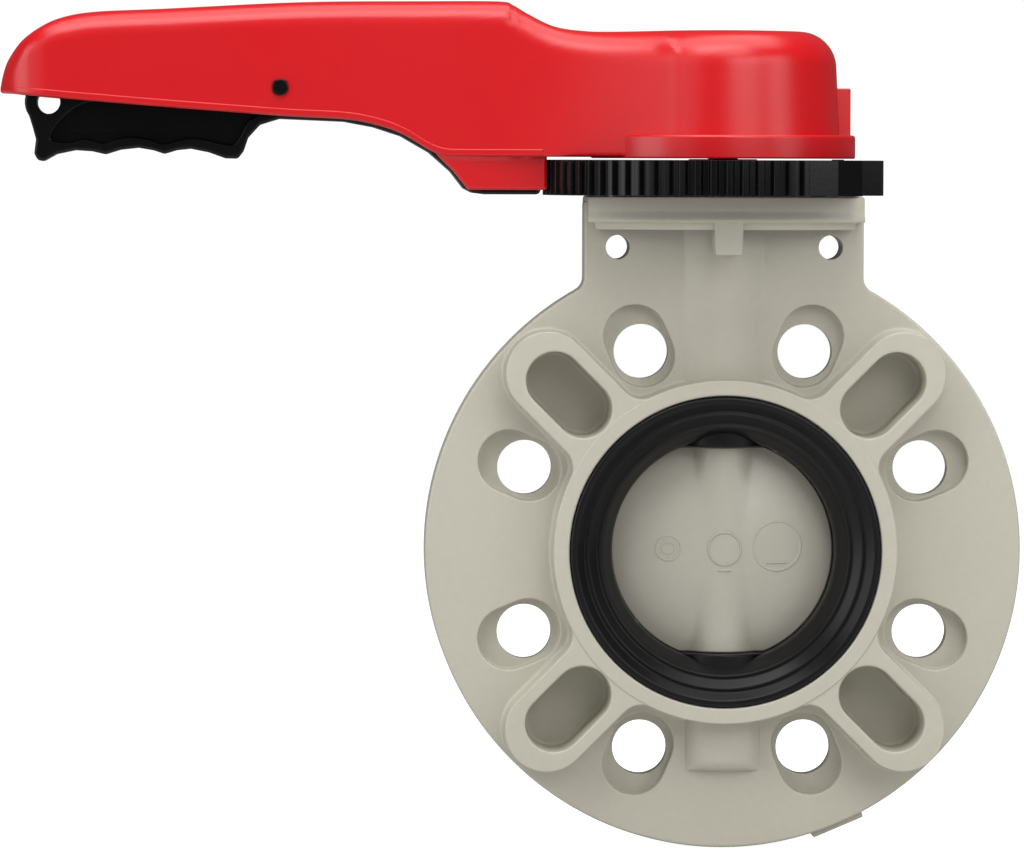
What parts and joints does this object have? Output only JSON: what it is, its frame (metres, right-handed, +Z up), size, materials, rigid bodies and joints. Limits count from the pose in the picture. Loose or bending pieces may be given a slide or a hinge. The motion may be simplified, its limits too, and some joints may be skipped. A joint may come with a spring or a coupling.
{
  "type": "butterfly valve",
  "caption": "Plastic wafer butterfly valve with a lined bore, round bolting plate, toothed locking plate and a red squeeze-trigger hand lever.",
  "frame": {"origin": "middle of the bore, where the stem's axis crosses the pipe's axis", "axes": "+Z up along the stem to the lever, -Y out of the front face along the pipe, -X along the lever when closed"},
  "size_m": [0.3561, 0.1092, 0.2953],
  "materials": {
    "body_plastic": "satin moulded",
    "disc_plastic": "satin moulded",
    "seat_rubber": "matte",
    "black_plastic": "satin moulded",
    "red_plastic": "semi-gloss moulded",
    "bush_plastic": "smooth",
    "stainless": "turned"
  },
  "bodies": {
    "valve": {"valve_body": "body_plastic", "seat_liner": "seat_rubber", "seat_bush_upper": "bush_plastic", "seat_bush_lower": "bush_plastic", "stem_bush_upper": "bush_plastic", "stem_bush_lower": "bush_plastic", "stem_retainer": "stainless", "locking_plate": "black_plastic", "plate_bolt_1": "stainless", "plate_bolt_2": "stainless", "plate_bolt_3": "stainless", "plate_bolt_4": "stainless"},
    "lever": {"lever_handle": "red_plastic", "lever_bolt": "stainless", "lever_washer": "stainless", "lever_cap": "black_plastic", "stem": "stainless", "stem_o_ring_top": "seat_rubber", "stem_o_ring_middle": "seat_rubber", "stem_o_ring_bottom": "seat_rubber", "disc": "disc_plastic", "trigger_pin": "black_plastic", "trigger_pin_clip": "black_plastic", "trigger_spring": "stainless"},
    "trigger": {"trigger": "black_plastic"}
  },
  "joints": [
    {"name": "lever_turn", "type": "hinge", "parent": "valve", "child": "lever", "pos_m": [0, 0, 0.13], "axis": [0, 0, 1], "range_deg": [0, 90]},
    {"name": "trigger_squeeze", "type": "hinge", "parent": "lever", "child": "trigger", "pos_m": [-0.1548, 0, 0.1608], "axis": [0, 1, 0], "range_deg": [0, 7.5], "stiffness_Nm_per_rad": 0.9, "springref_deg": -6.88, "deforming": ["trigger_spring"]}
  ]
}
